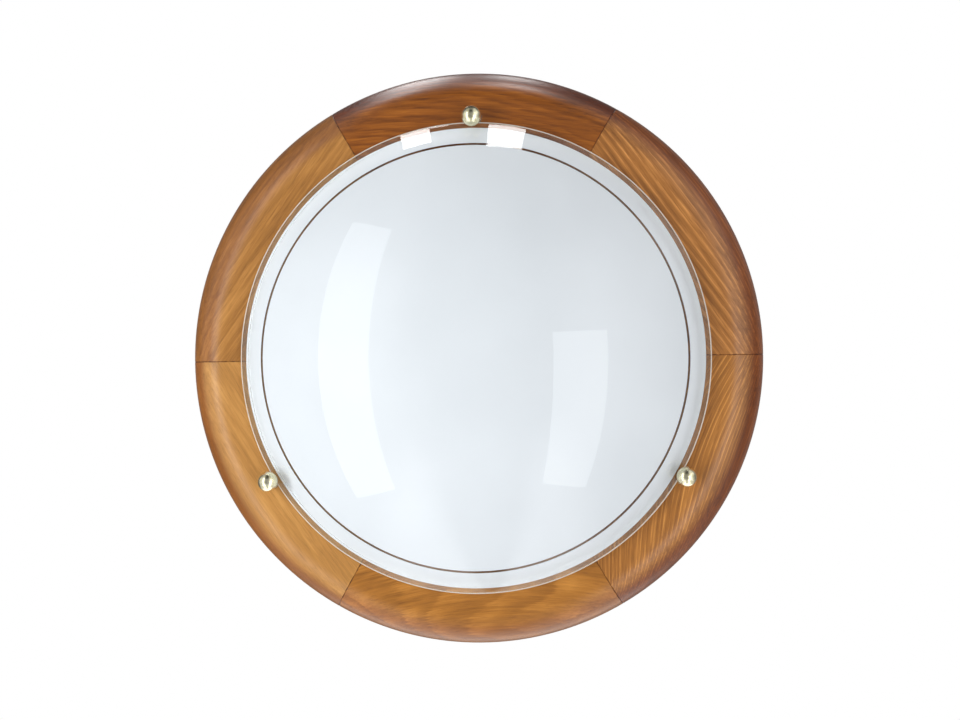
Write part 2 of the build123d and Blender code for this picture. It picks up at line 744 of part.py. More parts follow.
# ------------------------------------------------------------------ terminal block
pole_heights = [POLE_PITCH, 0, -POLE_PITCH]
block_top = PLATEAU_FACE + BLOCK_HEIGHT
clamp_places = [
    (BLOCK_X + offset, height)
    for height in pole_heights
    for offset in (CLAMP_SCREW_SPREAD, -CLAMP_SCREW_SPREAD)
]
pole_plane = Plane(origin=(BLOCK_X, -POLE_DEPTH, 0), x_dir=(0, -1, 0), z_dir=(1, 0, 0))
pole_places = [(0, height) for height in pole_heights]

with BuildPart() as block:
    with BuildSketch(at_depth(PLATEAU_FACE)):
        with Locations((BLOCK_X, 0)):
            RectangleRounded(BLOCK_LENGTH, BLOCK_WIDTH, BLOCK_CORNER_R)
    extrude(amount=BLOCK_HEIGHT)
    with BuildSketch(at_depth(PLATEAU_FACE)):
        with Locations((BLOCK_X, 0)):
            RectangleRounded(2 * BLOCK_EAR, BLOCK_WIDTH + 2 * BLOCK_EAR, BLOCK_EAR_CORNER_R)
        with Locations(*block_screw_places):
            Circle(BLOCK_EAR_HOLE_R, mode=Mode.SUBTRACT)
    extrude(amount=BLOCK_EAR_THICKNESS)
    with BuildSketch(pole_plane):
        with Locations(*pole_places):
            Circle(POLE_R)
    extrude(amount=BLOCK_LENGTH, both=True, mode=Mode.SUBTRACT)
    with BuildSketch(at_depth(POLE_DEPTH)):
        with Locations(*clamp_places):
            Circle(CLAMP_WELL_R)
    extrude(amount=BLOCK_HEIGHT, mode=Mode.SUBTRACT)
    with BuildSketch(at_depth(block_top)):
        with Locations((BLOCK_X, POLE_PITCH / 2), (BLOCK_X, -POLE_PITCH / 2)):
            Rectangle(BLOCK_LENGTH, BLOCK_GAP_WIDTH)
    extrude(amount=-BLOCK_GAP_DEPTH, mode=Mode.SUBTRACT)
save(block, "terminal_block")

with BuildPart() as tubes:
    with BuildSketch(pole_plane):
        with Locations(*pole_places):
            Circle(TUBE_R)
            Circle(TUBE_BORE_R, mode=Mode.SUBTRACT)
    extrude(amount=TUBE_LENGTH / 2, both=True)
    with BuildSketch(at_depth(POLE_DEPTH)):
        with Locations(*clamp_places):
            Circle(CLAMP_SCREW_R + STACK_GAP)
    extrude(amount=BLOCK_HEIGHT, mode=Mode.SUBTRACT)
save(tubes, "terminal_tubes")

with BuildPart() as clamp_screws:
    screw_foot = POLE_DEPTH + CLAMP_SCREW_LIFT
    screw_top = block_top - CLAMP_SCREW_SUNK
    with BuildSketch(at_depth(screw_foot)):
        with Locations(*clamp_places):
            Circle(CLAMP_SCREW_R)
    extrude(amount=screw_top - screw_foot)
    with BuildSketch(at_depth(screw_top)):
        with Locations(*clamp_places):
            Rectangle(2 * CLAMP_SCREW_R, CLAMP_SLOT_WIDTH)
    extrude(amount=-CLAMP_SLOT_DEPTH, mode=Mode.SUBTRACT)
save(clamp_screws, "terminal_screws")

ear_face = PLATEAU_FACE + BLOCK_EAR_THICKNESS
self_tapper_points = [
    (0, ear_face + SELF_TAPPER_HEAD),
    (SELF_TAPPER_HEAD_R - SELF_TAPPER_HEAD_TAPER, ear_face + SELF_TAPPER_HEAD),
    (SELF_TAPPER_HEAD_R, ear_face),
    (SELF_TAPPER_R, ear_face),
    (SELF_TAPPER_R, ear_face - SELF_TAPPER_LENGTH + SELF_TAPPER_POINT),
    (0, ear_face - SELF_TAPPER_LENGTH),
]
with BuildPart() as self_tappers:
    for x, z in block_screw_places:
        with BuildSketch(section(x, z)):
            with BuildLine():
                turned_outline(self_tapper_points)
            make_face()
        revolve(axis=wall_normal(x, z))
save(self_tappers, "block_screws")

# ------------------------------------------------------------------ earth point
with BuildPart() as earth_stud:
    with BuildSketch(at_depth(PLATEAU_FACE)):
        with Locations((EARTH_STUD_X, 0)):
            Circle(STUD_R)
    extrude(amount=EARTH_STUD_LENGTH)
    chamfer(earth_stud.faces().sort_by(Axis.Y)[0].edges(), EARTH_STUD_CHAMFER)
save(earth_stud, "earth_stud")

barrel_start = EARTH_STUD_X - LUG_R + LUG_BARREL_OVERLAP
with BuildPart() as lug:
    with BuildSketch(at_depth(PLATEAU_FACE)):
        with Locations((EARTH_STUD_X, 0)):
            Circle(LUG_R)
            Circle(STUD_R + STACK_GAP, mode=Mode.SUBTRACT)
    extrude(amount=LUG_THICKNESS)
    barrel_axis_depth = PLATEAU_FACE + LUG_BARREL_R
    with BuildSketch(Plane(origin=(barrel_start, -barrel_axis_depth, 0), z_dir=(-1, 0, 0))):
        Circle(LUG_BARREL_R)
    extrude(amount=LUG_BARREL_LENGTH)
save(lug, "earth_lug")

with BuildPart() as nut:
    with BuildSketch(at_depth(PLATEAU_FACE + LUG_THICKNESS + STACK_GAP)):
        with Locations((EARTH_STUD_X, 0)):
            RegularPolygon(NUT_ACROSS_FLATS / 2, 6, major_radius=False, rotation=30)
            Circle(STUD_R + STACK_GAP, mode=Mode.SUBTRACT)
    extrude(amount=NUT_HEIGHT)
save(nut, "earth_nut")


# ------------------------------------------------------------------ internal wires
def route_radii(points):
    """The largest arc that each corner of a route has room for."""
    radii = []
    for before, corner, after in zip(points, points[1:], points[2:]):
        first = Vector(*corner) - Vector(*before)
        second = Vector(*after) - Vector(*corner)
        turn = radians(first.get_angle(second))
        radii.append(ARC_SHARE * min(first.length, second.length) / tan(turn / 2))
    return radii


def make_wire(name, route):
    """Insulated wire along a route of (x, depth, z) points, rounded at each corner."""
    points = [(x, -depth, z) for x, depth, z in route]
    with BuildPart() as wire:
        with BuildLine():
            path = FilletPolyline(*points, radius=route_radii(points))
        with BuildSketch(Plane(origin=path @ 0, z_dir=path % 0)):
            Circle(WIRE_R)
        sweep()
    save(wire, name)


tube_end = BLOCK_X - TUBE_LENGTH / 2
tube_start = BLOCK_X + TUBE_LENGTH / 2
near_depth = POLE_DEPTH - WIRE_STACK
far_depth = POLE_DEPTH + WIRE_STACK
hole_x = HOLDER_BACK_X - WIRE_HOLE_ALONG
hole_end_z = LAMP_HEIGHT - HOLDER_R + WIRE_HOLE_DEPTH
shallow_hole = LAMP_DEPTH - WIRE_HOLE_SPREAD
deep_hole = LAMP_DEPTH + WIRE_HOLE_SPREAD

make_wire(
    "live_wire_upper",
    [
        (tube_end, far_depth, POLE_PITCH),
        (-52, far_depth, POLE_PITCH),
        (-62, 14, 5),
        (-72, 24, -1),
        (-hole_x, shallow_hole, 7),
        (-hole_x, shallow_hole, hole_end_z),
    ],
)
make_wire(
    "neutral_wire_upper",
    [
        (tube_end, far_depth, -POLE_PITCH),
        (-53, far_depth, -POLE_PITCH),
        (-65, 17, -11),
        (-72, 32, -11),
        (-hole_x, deep_hole, 0),
        (-hole_x, deep_hole, hole_end_z),
    ],
)
make_wire(
    "live_wire_lower",
    [
        (tube_end, near_depth, POLE_PITCH),
        (-52, near_depth, POLE_PITCH),
        (-62, 8.6, 11.5),
        (-67, 7.8, 21),
        (-62, 7.2, 30.5),
        (-50, 7, 34),
        (-36, 6.9, 30),
        (-14, 6.8, 21),
        (14, 6.6, 17),
        (40, 7, 19),
        (58, 10, 15),
        (70, 24, 11),
        (hole_x, deep_hole, 3),
        (hole_x, deep_hole, -hole_end_z),
    ],
)
make_wire(
    "neutral_wire_lower",
    [
        (tube_end, near_depth, -POLE_PITCH),
        (-52, near_depth, -POLE_PITCH),
        (-62, 8.6, -11.5),
        (-67, 7.8, -21),
        (-62, 7.2, -30.5),
        (-50, 7, -34),
        (-36, 6.9, -31),
        (-14, 6.8, -24),
        (12, 6.6, -18),
        (38, 7, -13),
        (58, 9, -7),
        (70, 20, 0),
        (hole_x, shallow_hole, -6),
        (hole_x, shallow_hole, -hole_end_z),
    ],
)
make_wire(
    "earth_wire",
    [
        (tube_start, POLE_DEPTH, 0),
        (-23, POLE_DEPTH, 0),
        (-12, 7.6, -14.5),
        (6, 6.9, -15.5),
        (17, barrel_axis_depth, 0),
        (barrel_start - LUG_BARREL_LENGTH, barrel_axis_depth, 0),
    ],
)
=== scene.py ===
"""Looks of the flush wall and ceiling light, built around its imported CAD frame.

Row frame: the wall is the plane Y = 0, the light stands out along -Y, +Z is up, metres. A "depth" is a
distance from the wall, so a point at depth d has Y = -d.
"""

import bmesh
import bpy
from math import cos, pi, radians, sin, sqrt, tan
from mathutils import Matrix, Vector


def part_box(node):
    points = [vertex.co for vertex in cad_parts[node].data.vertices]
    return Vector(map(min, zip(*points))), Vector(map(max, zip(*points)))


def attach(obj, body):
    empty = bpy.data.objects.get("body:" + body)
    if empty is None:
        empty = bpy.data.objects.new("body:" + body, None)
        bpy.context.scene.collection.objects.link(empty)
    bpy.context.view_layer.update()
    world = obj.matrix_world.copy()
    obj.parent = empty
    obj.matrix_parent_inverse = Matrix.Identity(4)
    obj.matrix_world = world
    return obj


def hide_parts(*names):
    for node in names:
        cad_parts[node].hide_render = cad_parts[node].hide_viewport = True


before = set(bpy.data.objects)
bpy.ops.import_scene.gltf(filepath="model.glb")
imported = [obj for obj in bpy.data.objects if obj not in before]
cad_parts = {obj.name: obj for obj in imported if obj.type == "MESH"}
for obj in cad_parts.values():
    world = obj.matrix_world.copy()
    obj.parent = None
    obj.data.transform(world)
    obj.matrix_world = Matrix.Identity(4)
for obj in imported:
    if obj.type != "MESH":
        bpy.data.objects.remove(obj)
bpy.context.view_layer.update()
scene = bpy.context.scene
MM = 0.001

# ------------------------------------------------------------------ dimensions: mm, degrees and mesh steps
RING_MIDDLE_DEPTH = 12.0
JOINT_HALF_ARC = 30.0
GLASS_R = 150.0
GLASS_BEVEL = 0.8
GLASS_EDGE = 1.6
GLASS_SEAT_DEPTH = 35.0
DOME_OUTER_SPHERE_R = 229.0
DOME_INNER_SPHERE_R = 225.0
RIM_FLAT_INNER_R = 147.5
DOME_CENTRE_DEPTH = GLASS_SEAT_DEPTH - sqrt(DOME_INNER_SPHERE_R**2 - RIM_FLAT_INNER_R**2)
PRINT_OUTER_R = 145.1
CLEAR_FROM_R = 144.5
PRINT_LINE_R = 135.6
PRINT_LINE_WIDTH = 1.4
PRINT_THICKNESS = 0.3
PRINT_BITE = 0.05
STUD_CIRCLE_R = 153.5
STUD_ANGLES = {"top": 90, "lower_left": 210, "lower_right": 330}

# The studs' thread. A flank rises from the root to the crest within half the pitch.
STUD_CREST_R = 2.0
STUD_ROOT_R = 1.62
STUD_END_R = STUD_ROOT_R * 0.75
STUD_PITCH = 0.7
THREAD_FLANK_SLOPE = 2.4
THREAD_ROOT_FLAT = 0.1
THREAD_ROWS_PER_TURN = 8
STUD_STEPS = 40

TURNED_STEPS = 360
SMOOTH_ANGLE = 28.0

# ------------------------------------------------------------------ camera, made first
CAMERA_DISTANCE = 1.70
CAMERA_AZIMUTH = 3.3
CAMERA_ROLL = 0.8
CAMERA_LENS = 98.78
SENSOR_WIDTH = 36.0
AIM_RIGHT = 0.00155
AIM_UP = -0.00124


def make_camera():
    """Camera almost square to the face, a little to its right and turned slightly about its own axis."""
    azimuth = radians(CAMERA_AZIMUTH)
    away = Vector((sin(azimuth), -cos(azimuth), 0))
    right = Vector((cos(azimuth), sin(azimuth), 0))
    up = Vector((0, 0, 1))
    aim = Vector((0, -RING_MIDDLE_DEPTH * MM, 0)) + right * AIM_RIGHT + up * AIM_UP
    roll = Matrix.Rotation(radians(-CAMERA_ROLL), 3, away)
    axes = Matrix((roll @ right, roll @ up, away)).transposed().to_4x4()
    data = bpy.data.cameras.new("camera")
    data.lens = CAMERA_LENS
    data.sensor_width = SENSOR_WIDTH
    data.clip_start = 0.05
    data.clip_end = 50
    camera = bpy.data.objects.new("camera", data)
    camera.matrix_world = Matrix.Translation(aim + away * CAMERA_DISTANCE) @ axes
    scene.collection.objects.link(camera)
    scene.camera = camera


make_camera()
scene.view_settings.view_transform = "Standard"
scene.cycles.use_denoising = True
scene.cycles.transparent_max_bounces = 24


# ------------------------------------------------------------------ node helpers
def linear(red, green, blue):
    """Linear colour of an sRGB one given in 0 to 255."""

    def channel(value):
        value /= 255
        return value / 12.92 if value <= 0.04045 else ((value + 0.055) / 1.055) ** 2.4

    return channel(red), channel(green), channel(blue), 1.0


class Nodes:
    """A node tree, with short calls for the nodes that come up again and again."""

    def __init__(self, tree):
        self.tree = tree
        self.tree.nodes.clear()

    def node(self, kind, inputs=None, **settings):
        made = self.tree.nodes.new(kind)
        for key, value in settings.items():
            setattr(made, key, value)
        for key, value in (inputs or {}).items():
            self.feed(made.inputs[key], value)
        return made

    def feed(self, socket, value):
        if isinstance(value, bpy.types.NodeSocket):
            self.tree.links.new(value, socket)
        else:
            socket.default_value = value

    def math(self, operation, *values):
        made = self.node("ShaderNodeMath", operation=operation)
        for socket, value in zip(made.inputs, values):
            self.feed(socket, value)
        return made.outputs[0]

    def vector(self, operation, *values):
        made = self.node("ShaderNodeVectorMath", operation=operation)
        for socket, value in zip(made.inputs, values):
            self.feed(socket, value)
        return made.outputs["Value" if operation in ("DOT_PRODUCT", "LENGTH") else "Vector"]

    def scaled(self, vector, amounts):
        return self.vector("MULTIPLY", vector, amounts)

    def step(self, value, start, end, low=0.0, high=1.0):
        """Smooth step from low at start to high at end."""
        made = self.node("ShaderNodeMapRange", interpolation_type="SMOOTHSTEP")
        keys = ("Value", "From Min", "From Max", "To Min", "To Max")
        for key, given in zip(keys, (value, start, end, low, high)):
            self.feed(made.inputs[key], given)
        return made.outputs["Result"]

    def noise(self, vector, scale=1.0, detail=2.0, roughness=0.5):
        made = self.node(
            "ShaderNodeTexNoise",
            {"Vector": vector, "Scale": scale, "Detail": detail, "Roughness": roughness},
        )
        return made.outputs["Fac"]

    def mix(self, factor, first, second, blend="MIX"):
        made = self.node("ShaderNodeMix", data_type="RGBA", blend_type=blend)
        self.feed(made.inputs[0], factor)
        self.feed(made.inputs[6], first)
        self.feed(made.inputs[7], second)
        return made.outputs[2]

    def ramp(self, factor, stops):
        made = self.node("ShaderNodeValToRGB", {"Fac": factor})
        elements = made.color_ramp.elements
        while len(elements) < len(stops):
            elements.new(0.5)
        for element, (position, colour) in zip(elements, stops):
            element.position = position
            element.color = colour
        return made.outputs["Color"]


class Surface(Nodes):
    """A material being made."""

    def __init__(self, name):
        self.material = bpy.data.materials.new(name)
        self.material.use_nodes = True
        super().__init__(self.material.node_tree)
        self.output = self.node("ShaderNodeOutputMaterial")

    def place(self):
        """Position in the piece's own frame at rest, in mm."""
        coordinates = self.node("ShaderNodeTexCoord")
        return self.scaled(coordinates.outputs["Object"], (1 / MM,) * 3)

    def own_normal(self):
        return self.node("ShaderNodeTexCoord").outputs["Normal"]

    def parts(self, vector):
        made = self.node("ShaderNodeSeparateXYZ", {0: vector})
        return made.outputs[0], made.outputs[1], made.outputs[2]

    def bump(self, height, strength, distance=MM):
        made = self.node("ShaderNodeBump", {"Height": height, "Strength": strength, "Distance": distance})
        return made.outputs[0]

    def principled(self, **inputs):
        named = {key.replace("_", " "): value for key, value in inputs.items()}
        return self.node("ShaderNodeBsdfPrincipled", named).outputs[0]

    def show(self, shader):
        self.tree.links.new(shader, self.output.inputs["Surface"])
        return self.material


# ------------------------------------------------------------------ studio
# ROOM_LEVEL and TABLE_LEVEL are in units of paper white. The other levels are shares of the room's own.
ROOM_LEVEL = 1.075
ROOM_SLOPE = (0.47, 0, 0.28)
FRONT_LEVEL = 0.28
FAR_RIGHT_LEVEL = 0.3
FAR_LEFT_LEVEL = 1.5
OVERHEAD_GAP_LEVEL = 0.35
CEILING_LEVEL = 0.5
BEHIND_LEVEL = 0.2
TABLE_LEVEL = 0.95
TABLE_SHINE = 1.0
NEAR_TABLE_SHARE = 0.3
TABLE_END_SHARE = 0.4

# Where each change starts and is full: degrees from straight in front, or the part of a direction that
# points right, back or up, from -1 to 1.
FRONT_BAND = (20, 42)
POLE_BAND = (0.9, 1.0)
FAR_SIDE_BAND = (0.8, 1.0)
GAP_WIDTH_BAND = (0.2, 0.42)
GAP_HEIGHT_BAND = (0.4, 0.8)
CEILING_BAND = (0.35, 0.75)
BEHIND_BAND = (-0.1, 0.35)
TABLE_BAND = (-0.25, -0.65)
TABLE_RISE_BEHIND = 0.3
NEAR_TABLE_BAND = (12, 30)
TABLE_END_BAND = (0.35, 0.6)
ROOM_TINT = linear(252, 253, 255)
COOL = (0.95, 0.98, 1.0)


def make_world():
    """White room that brightens towards the right and upwards, with a white table below.

    It is darker straight in front, behind, overhead and at the far right, darkest in the gap between the
    ceiling lights, and brighter at the far left. The table is brighter in reflections, and darker straight in
    front and at its ends. The camera itself sees plain white.
    """
    world = bpy.data.worlds.new("studio")
    world.use_nodes = True
    scene.world = world
    n = Nodes(world.node_tree)
    output = n.node("ShaderNodeOutputWorld")
    path = n.node("ShaderNodeLightPath")
    direction = n.node("ShaderNodeTexCoord").outputs["Generated"]
    right, back, up = n.node("ShaderNodeSeparateXYZ", {0: direction}).outputs
    sideways = n.math("ABSOLUTE", right)
    azimuth = n.math("ABSOLUTE", n.math("ARCTAN2", right, n.math("MULTIPLY", back, -1)))
    upright = n.step(n.math("ABSOLUTE", up), *POLE_BAND, 1, 0)
    front = n.math("MULTIPLY", n.step(azimuth, *map(radians, FRONT_BAND), 1, 0), upright)
    gap = n.math("MULTIPLY", n.step(sideways, *GAP_WIDTH_BAND, 1, 0), n.step(up, *GAP_HEIGHT_BAND))
    slope = n.vector("DOT_PRODUCT", direction, ROOM_SLOPE)
    level = n.math("MULTIPLY", ROOM_LEVEL, n.math("ADD", 1.0, slope))
    for share, full_level in (
        (front, FRONT_LEVEL),
        (n.step(right, *FAR_SIDE_BAND), FAR_RIGHT_LEVEL),
        (n.step(right, *(-edge for edge in FAR_SIDE_BAND)), FAR_LEFT_LEVEL),
        (gap, OVERHEAD_GAP_LEVEL),
        (n.step(up, *CEILING_BAND), CEILING_LEVEL),
        (n.step(back, *BEHIND_BAND), BEHIND_LEVEL),
    ):
        change = n.math("MULTIPLY", share, 1 - full_level)
        level = n.math("MULTIPLY", level, n.math("SUBTRACT", 1.0, change))
    risen = n.math("MULTIPLY", n.math("MAXIMUM", back, 0.0), TABLE_RISE_BEHIND)
    table = n.step(n.math("ADD", up, risen), *TABLE_BAND)
    rest = n.math("MULTIPLY", level, n.math("SUBTRACT", 1.0, table))
    near = n.step(azimuth, *map(radians, NEAR_TABLE_BAND), NEAR_TABLE_SHARE, 1)
    ends = n.step(sideways, *TABLE_END_BAND, 1, TABLE_END_SHARE)
    shine = n.math("MULTIPLY", path.outputs["Is Glossy Ray"], TABLE_SHINE)
    table_level = n.math("MULTIPLY", table, n.math("ADD", TABLE_LEVEL, shine))
    lit_table = n.math("MULTIPLY", table_level, n.math("MULTIPLY", near, ends))
    level = n.math("ADD", rest, lit_table)
    lit = n.node("ShaderNodeBackground", {"Color": ROOM_TINT, "Strength": level})
    seen = n.node("ShaderNodeBackground", {"Color": (1, 1, 1, 1), "Strength": 1.0})
    from_camera = path.outputs["Is Camera Ray"]
    both = n.node("ShaderNodeMixShader", {0: from_camera, 1: lit.outputs[0], 2: seen.outputs[0]})
    n.feed(output.inputs["Surface"], both.outputs[0])


def add_light(name, width, height, radiance, tint, axes, middle, diffuse=True, glossy=True):
    """Flat soft light that the camera doesn't see. Its radiance is in units of paper white.

    diffuse and glossy say whether it lights matt surfaces and whether it shows in reflections.
    """
    data = bpy.data.lights.new(name, "AREA")
    data.shape = "RECTANGLE"
    data.size = width
    data.size_y = height
    data.energy = radiance * width * height * pi
    data.color = tint
    panel = bpy.data.objects.new(name, data)
    panel.visible_camera = False
    panel.visible_diffuse = diffuse
    panel.visible_glossy = glossy
    panel.matrix_world = Matrix.Translation(middle) @ axes
    scene.collection.objects.link(panel)
    return panel


# Where the lights stand, in metres.
SIDE_DISTANCE = 1.3
SIDE_DEPTH = 0.07
CEILING_HEIGHT = 1.5
DOME_TOP = Vector((0, -0.045, 0.14))


def strip(name, azimuth, width_deg, low, high, start, radiance, tint, glossy=True):
    """Upright light at an azimuth from straight in front.

    low and high are (height it is seen from, elevation), start is how far to the side it is seen from.
    """
    bottom, top = (
        seen_from + SIDE_DISTANCE * tan(radians(elevation)) for seen_from, elevation in (low, high)
    )
    facing = Vector((sin(radians(azimuth)), -cos(radians(azimuth)), 0))
    upright = Vector((0, 0, 1))
    axes = Matrix((upright.cross(facing), upright, facing)).transposed().to_4x4()
    middle = facing * SIDE_DISTANCE + Vector((start, -SIDE_DEPTH, (bottom + top) / 2))
    width = 2 * SIDE_DISTANCE * tan(radians(width_deg / 2))
    add_light(name, width, top - bottom, radiance, tint, axes, middle, glossy=glossy)


def back_fill(size, distance, height, radiance):
    """Light straight behind, for the side that faces the wall."""
    axes = Matrix.Rotation(radians(-90), 3, "X").to_4x4()
    add_light("back_fill", size, size, radiance, COOL, axes, Vector((0, distance, height)), glossy=False)


def leave_out(panel, nodes):
    """Stops a light from falling on some CAD nodes."""
    left_out = bpy.data.collections.new(panel.name + "_left_out")
    for node in nodes:
        left_out.objects.link(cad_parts[node])
    for entry in left_out.collection_objects:
        entry.light_linking.link_state = "EXCLUDE"
    panel.light_linking.receiver_collection = left_out


def overhead(name, x_shares, y_shares, start, radiance):
    """Level light on the ceiling, its edges given as shares of its height above the top of the dome.

    It shows in reflections but lights no matt surface, and leaves the ball knobs alone.
    """
    rise = CEILING_HEIGHT - DOME_TOP.z
    width, depth = ((shares[1] - shares[0]) * rise for shares in (x_shares, y_shares))
    middle = DOME_TOP + Vector((start + sum(x_shares) / 2 * rise, sum(y_shares) / 2 * rise, rise))
    panel = add_light(name, width, depth, radiance, (1, 1, 1), Matrix.Identity(4), middle, diffuse=False)
    leave_out(panel, [f"ball_knob_{place}" for place in STUD_ANGLES])


make_world()
strip("left_panel_lower", -47, 20, (-0.09, -42), (0.01, 6.5), -0.075, 1.9, COOL)
strip("left_panel_upper", -47, 20, (0.01, 6.5), (0.09, 42), -0.075, 1.7, COOL)
strip("right_panel", 33.5, 20, (-0.09, -42), (0.02, 8.0), 0.06, 1.85, COOL)
strip("left_key", -52, 12, (0.0, -22), (0.06, 14), -0.075, 7.7, COOL, glossy=False)
overhead("overhead_left", (-0.39, -0.236), (-0.175, 0.05), -0.04, 15)
overhead("overhead_right", (0.006, 0.187), (-0.255, 0.05), 0.02, 13)
overhead("overhead_left_back", (-0.39, -0.14), (0.05, 1.1), -0.04, 7.5)
overhead("overhead_right_back", (0.0, 0.16), (0.3, 1.1), 0.02, 6)
back_fill(1.4, 1.3, 0.1, 2.0)

# Floor, in metres.
FLOOR_BELOW = -0.48
FLOOR_CLEAR_R = 0.9
FLOOR_END_R = 1.5
FLOOR_FADED_R = FLOOR_END_R * 0.98
FLOOR_GLOW = 0.34
FLOOR_STEPS = 96


def make_floor():
    """Pale floor some way below the light, which fades into the white surroundings.

    Only the camera sees it: it is lit a little from within so that it stays pale, and lights nothing itself.
    """
    s = Surface("pale_floor")
    place = s.node("ShaderNodeTexCoord").outputs["Object"]
    across, along, _ = s.parts(place)
    squares = s.math("ADD", s.math("MULTIPLY", across, across), s.math("MULTIPLY", along, along))
    fade = s.step(s.math("SQRT", squares), FLOOR_CLEAR_R, FLOOR_FADED_R)
    grain = s.noise(place, 40, 3)
    colour = s.ramp(grain, [(0.3, linear(236, 236, 235)), (0.7, linear(242, 242, 241))])
    body = s.principled(
        Base_Color=colour,
        Roughness=0.8,
        Emission_Color=(1, 1, 1, 1),
        Emission_Strength=FLOOR_GLOW,
    )
    clear = s.node("ShaderNodeBsdfTransparent").outputs[0]
    s.show(s.node("ShaderNodeMixShader", {0: fade, 1: body, 2: clear}).outputs[0])
    turns = [2 * pi * k / FLOOR_STEPS for k in range(FLOOR_STEPS)]
    ring = [(FLOOR_END_R * cos(turn), FLOOR_END_R * sin(turn), 0) for turn in turns]
    mesh = bpy.data.meshes.new("floor")
    mesh.from_pydata(ring, [], [list(range(FLOOR_STEPS))])
    mesh.materials.append(s.material)
    floor = bpy.data.objects.new("floor", mesh)
    floor.location = (0, 0, FLOOR_BELOW)
    scene.collection.objects.link(floor)
    floor.visible_glossy = False
    floor.visible_shadow = False
    floor.visible_diffuse = False


make_floor()


# ------------------------------------------------------------------ wood
class Board:
    """How one segment of the ring was cut from the log, and its stain.

    tilt turns the grain away from the segment's chord and bend curves it. pith is where the log's middle
    lies, outwards and into the board, and taper how fast it leaves the surface. years is the width of a
    year's growth and wave how far it wanders, in mm. rings, fibre, cloud and pale are how strongly each part
    of the figure shows. edge is the darkening of the outer round, part darker stain and part painted shade:
    where it starts, where it is full, and its colour.
    """

    def __init__(
        self,
        middle,
        colour,
        tilt=0.0,
        bend=0.0,
        pith=(90.0, -60.0),
        taper=0.0,
        years=3.0,
        wave=5.0,
        rings=0.1,
        fibre=0.8,
        cloud=0.5,
        pale=0.0,
        edge=(170, 180, (226, 206, 188)),
    ):
        self.middle = middle
        self.colour = colour
        self.tilt = tilt
        self.bend = bend
        self.pith = pith
        self.taper = taper
        self.years = years
        self.wave = wave
        self.rings = rings
        self.fibre = fibre
        self.cloud = cloud
        self.pale = pale
        self.edge = edge


# Each board's edge darkens its outer round, part darker stain and part painted shade.
BOARDS = {
    "top": Board(
        90, (144, 79, 19), tilt=-3, bend=8, pith=(40.0, -34.0), taper=0.1, years=3.2, wave=9, rings=0.16,
        fibre=1.3, cloud=0.9, edge=(171, 179, (196, 162, 138)),
    ),
    "upper_left": Board(
        150, (177, 120, 57), tilt=-6, pith=(120.0, -90.0), years=6.5, wave=6, rings=0.1, fibre=0.85,
        cloud=0.7, edge=(164, 171, (224, 208, 194)),
    ),
    "lower_left": Board(
        210, (194, 137, 70), tilt=4, bend=4, pith=(150.0, -110.0), years=9.0, wave=7, rings=0.04, fibre=0.55,
        cloud=0.5, edge=(172, 179, (205, 176, 146)),
    ),
    "bottom": Board(
        270, (178, 115, 44), tilt=3, bend=-14, pith=(-12.0, -30.0), taper=0.16, years=6.0, wave=10,
        rings=0.16, fibre=0.8, cloud=0.8, edge=(168, 175, (235, 222, 225)),
    ),
    "lower_right": Board(
        330, (179, 116, 51), tilt=9, bend=-20, pith=(140.0, -100.0), years=2.1, wave=2.2, rings=0.07,
        fibre=0.9, cloud=0.6, pale=0.3, edge=(171, 178, (192, 158, 138)),
    ),
    "upper_right": Board(
        30, (175, 113, 53), tilt=6, pith=(150.0, -120.0), years=3.4, wave=2.5, rings=0.1, fibre=0.95,
        cloud=0.8, pale=0.26, edge=(170, 178, (208, 176, 154)),
    ),
}
STAIN_SHADES = ((0.0, (0.30, 0.24, 0.2)), (0.5, (1.0, 1.0, 1.0)), (1.0, (1.75, 2.0, 2.5)))
JOINT_COLOUR = linear(92, 52, 28)
GLUE_BAND = (0.1, 0.6)
RAW_WOOD = linear(176, 132, 84)
RAW_DEPTH_BAND = (0.2, 3.0)
RAW_SHARE = 0.55

# How fine each part of the figure is along the grain, outwards and into the board, per mm.
BROAD_SCALE = (0.008, 0.035, 0.035)
CLOUD_SCALE = (0.02, 0.08, 0.08)
FIBRE_SCALE = (0.03, 0.6, 0.6)
PORE_SCALE = (0.11, 1.7, 1.7)
# Each board takes its figure from another part of the log, in mm per degree of the board's place.
LOG_SHIFT = (17.0, 7.0, 3.0)
# Where late and early wood come and go within a year's growth, and where the noise makes a pore.
LATE_RISE, LATE_FALL = (0.25, 0.85), (0.85, 1.0)
EARLY_RISE, EARLY_FALL = (0.0, 0.2), (0.2, 0.42)
PORE_BAND = (0.56, 0.68)
PORE_TONE = -0.1
LACQUER_ROUGHNESS = 0.3
PORE_ROUGHNESS = 0.12
RAW_ROUGHNESS = 0.35


